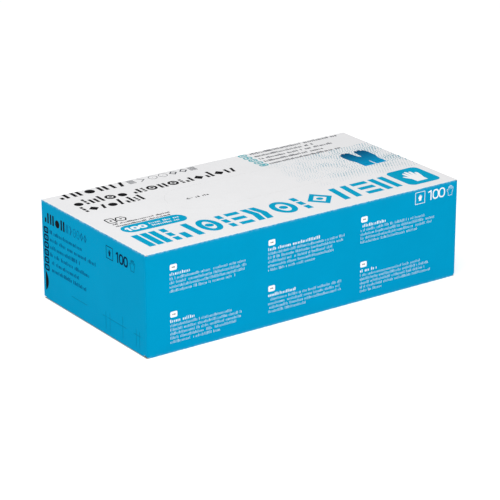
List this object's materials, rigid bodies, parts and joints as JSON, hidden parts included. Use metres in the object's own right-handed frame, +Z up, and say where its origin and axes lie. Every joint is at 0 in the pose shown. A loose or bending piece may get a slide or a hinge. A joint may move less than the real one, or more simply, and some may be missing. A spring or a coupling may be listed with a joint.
{
  "type": "disposable glove dispenser box",
  "caption": "Folding carton that dispenses flat disposable gloves: printed board sleeve, oval perforated tear-out in the top, tucked end flaps with dust flaps, stack of gloves inside.",
  "frame": {"origin": "centre of the carton's base, on the surface it stands on", "axes": "+X along the long side, -Y out of the printed front, +Z up out of the top with the dispensing mouth"},
  "size_m": [0.24, 0.122, 0.067],
  "materials": {
    "white_board": "white coated boxboard with a satin varnish",
    "blue_board": "coated boxboard printed solid cyan blue with a satin varnish",
    "raw_board": "uncoated grey-white board",
    "adhesive": "dried carton adhesive film",
    "nitrile": "thin blue nitrile film"
  },
  "bodies": {
    "carton": {"top_panel": "white_board", "front_panel": "blue_board", "back_panel": "blue_board", "bottom_panel": "white_board", "glue_flap": "raw_board", "glue_seam": "adhesive", "glove_bundle_01": "nitrile", "glove_bundle_02": "nitrile", "glove_bundle_03": "nitrile", "glove_bundle_04": "nitrile", "glove_bundle_05": "nitrile", "glove_bundle_06": "nitrile", "glove_bundle_07": "nitrile", "glove_bundle_08": "nitrile", "glove_bundle_09": "nitrile", "glove_bundle_10": "nitrile", "top_glove": "nitrile"},
    "tear_out": {"tear_out_panel": "white_board", "tear_ties": "raw_board"},
    "left_end_flap": {"left_end_flap": "blue_board"},
    "left_tuck_tongue": {"left_tuck_tongue": "blue_board"},
    "left_front_dust_flap": {"left_front_dust_flap": "blue_board"},
    "left_back_dust_flap": {"left_back_dust_flap": "blue_board"},
    "right_end_flap": {"right_end_flap": "blue_board"},
    "right_tuck_tongue": {"right_tuck_tongue": "blue_board"},
    "right_front_dust_flap": {"right_front_dust_flap": "blue_board"},
    "right_back_dust_flap": {"right_back_dust_flap": "blue_board"}
  },
  "joints": [
    {"name": "tear_out_lift", "type": "slide", "parent": "carton", "child": "tear_out", "axis": [0, 0, 1], "range_m": [0, 0.06]},
    {"name": "left_end_flap_hinge", "type": "hinge", "parent": "carton", "child": "left_end_flap", "pos_m": [-0.11955, 0, 0.06655], "axis": [0, 1, 0], "range_deg": [0, 160]},
    {"name": "left_tuck_tongue_crease", "type": "hinge", "parent": "left_end_flap", "child": "left_tuck_tongue", "pos_m": [-0.11955, 0, 0.00115], "axis": [0, 1, 0], "range_deg": [0, 37]},
    {"name": "left_front_dust_flap_hinge", "type": "hinge", "parent": "carton", "child": "left_front_dust_flap", "pos_m": [-0.11885, -0.06055, 0.03355], "axis": [0, 0, 1], "range_deg": [0, 90.1]},
    {"name": "left_back_dust_flap_hinge", "type": "hinge", "parent": "carton", "child": "left_back_dust_flap", "pos_m": [-0.11885, 0.06055, 0.03355], "axis": [0, 0, -1], "range_deg": [0, 90.1]},
    {"name": "right_end_flap_hinge", "type": "hinge", "parent": "carton", "child": "right_end_flap", "pos_m": [0.11955, 0, 0.06655], "axis": [0, -1, 0], "range_deg": [0, 160]},
    {"name": "right_tuck_tongue_crease", "type": "hinge", "parent": "right_end_flap", "child": "right_tuck_tongue", "pos_m": [0.11955, 0, 0.00115], "axis": [0, -1, 0], "range_deg": [0, 37]},
    {"name": "right_front_dust_flap_hinge", "type": "hinge", "parent": "carton", "child": "right_front_dust_flap", "pos_m": [0.11885, -0.06055, 0.03355], "axis": [0, 0, -1], "range_deg": [0, 90.1]},
    {"name": "right_back_dust_flap_hinge", "type": "hinge", "parent": "carton", "child": "right_back_dust_flap", "pos_m": [0.11885, 0.06055, 0.03355], "axis": [0, 0, 1], "range_deg": [0, 90.1]}
  ],
  "couplings": [
    {"joint": "left_tuck_tongue_crease", "follows": "left_end_flap_hinge", "ratio": 0.23},
    {"joint": "left_front_dust_flap_hinge", "follows": "left_end_flap_hinge", "ratio": 0.5625},
    {"joint": "left_back_dust_flap_hinge", "follows": "left_end_flap_hinge", "ratio": 0.5625},
    {"joint": "right_tuck_tongue_crease", "follows": "right_end_flap_hinge", "ratio": 0.23},
    {"joint": "right_front_dust_flap_hinge", "follows": "right_end_flap_hinge", "ratio": 0.5625},
    {"joint": "right_back_dust_flap_hinge", "follows": "right_end_flap_hinge", "ratio": 0.5625}
  ]
}
